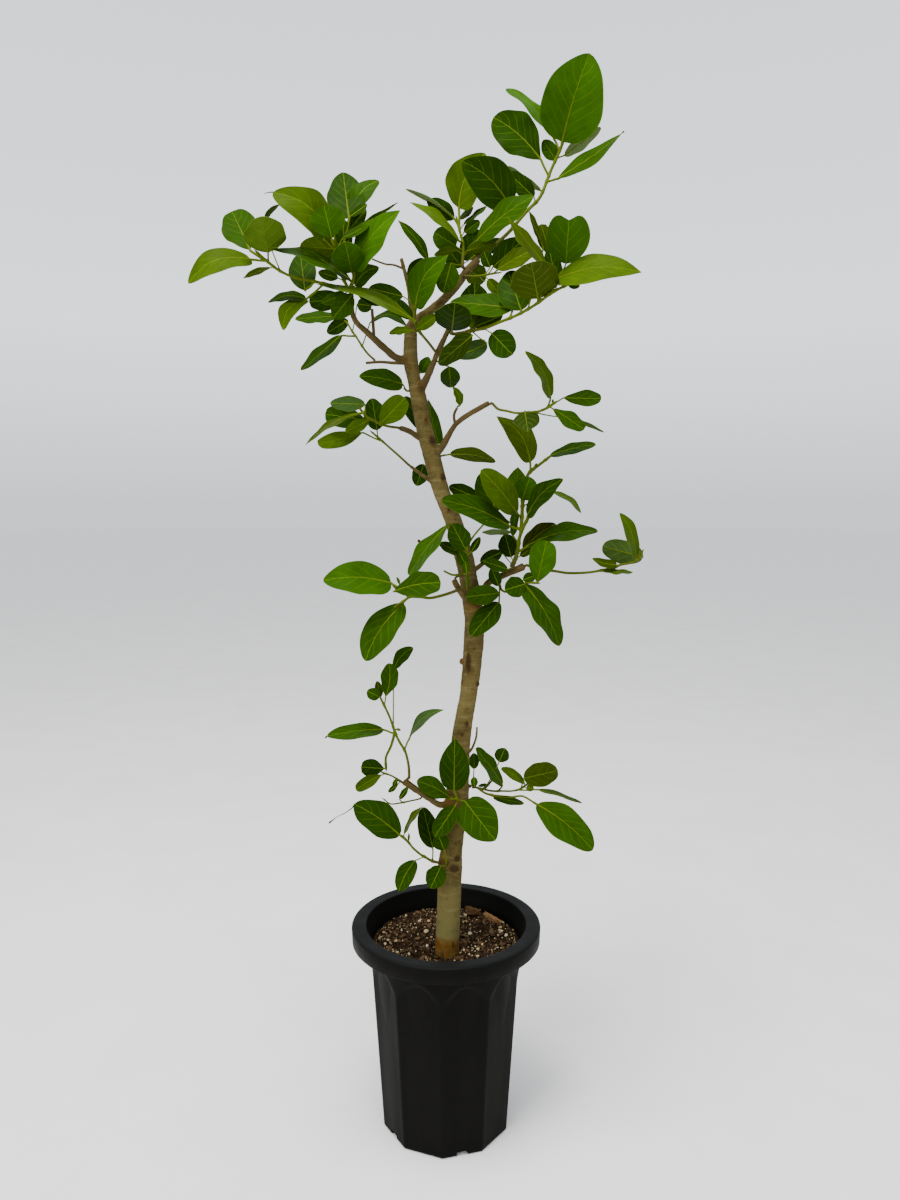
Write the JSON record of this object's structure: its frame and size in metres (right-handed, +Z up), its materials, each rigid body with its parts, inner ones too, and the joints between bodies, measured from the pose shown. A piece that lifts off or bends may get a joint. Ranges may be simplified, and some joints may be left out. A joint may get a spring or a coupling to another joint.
{
  "type": "potted banyan plant",
  "caption": "Potted banyan with a slender pale trunk, short side branches and leafy shoots of oval leaves, in a tall black faceted nursery pot with a flat rim.",
  "frame": {"origin": "middle of the pot's underside, on the surface that it stands on", "axes": "+Z up along the pot's axis, the picture's viewer looks along +Y, and +X is to the viewer's right"},
  "size_m": [0.5056, 0.2595, 1.3259],
  "materials": {
    "black_plastic": "satin moulded plastic",
    "potting_soil": "crumbly bark mix",
    "bark_chip": "rough bark",
    "bark": "smooth pale bark",
    "leaf": "waxy leaf"
  },
  "bodies": {
    "root": {"pot": "black_plastic", "potting_soil": "potting_soil", "bark_chip_left": "bark_chip", "bark_chip_right": "bark_chip", "trunk": "bark", "shoot_top_left": "leaf", "shoot_upper_left": "leaf", "leaf_on_trunk_left": "leaf", "shoot_top_centre": "leaf", "leaf_on_branch": "leaf", "shoot_right_long": "leaf", "shoot_top_middle": "leaf", "shoot_top_right": "leaf", "shoot_right_twig": "leaf", "shoot_right": "leaf", "leaf_on_stub": "leaf", "leaf_on_trunk_right": "leaf", "shoot_middle_left": "leaf", "shoot_middle_left_low": "leaf", "leaf_behind_twig": "leaf", "shoot_behind_trunk": "leaf", "leaf_on_trunk_top": "leaf", "shoot_centre": "leaf", "shoot_lower_centre": "leaf", "shoot_on_stub": "leaf", "shoot_lower_left": "leaf", "shoot_far_right": "leaf", "shoot_low_left": "leaf", "shoot_branch_end": "leaf", "twig_low_left": "leaf", "shoot_low_front": "leaf", "shoot_low_right": "leaf", "shoot_lowest_left": "leaf", "leaves_on_knot": "leaf"}
  },
  "joints": []
}
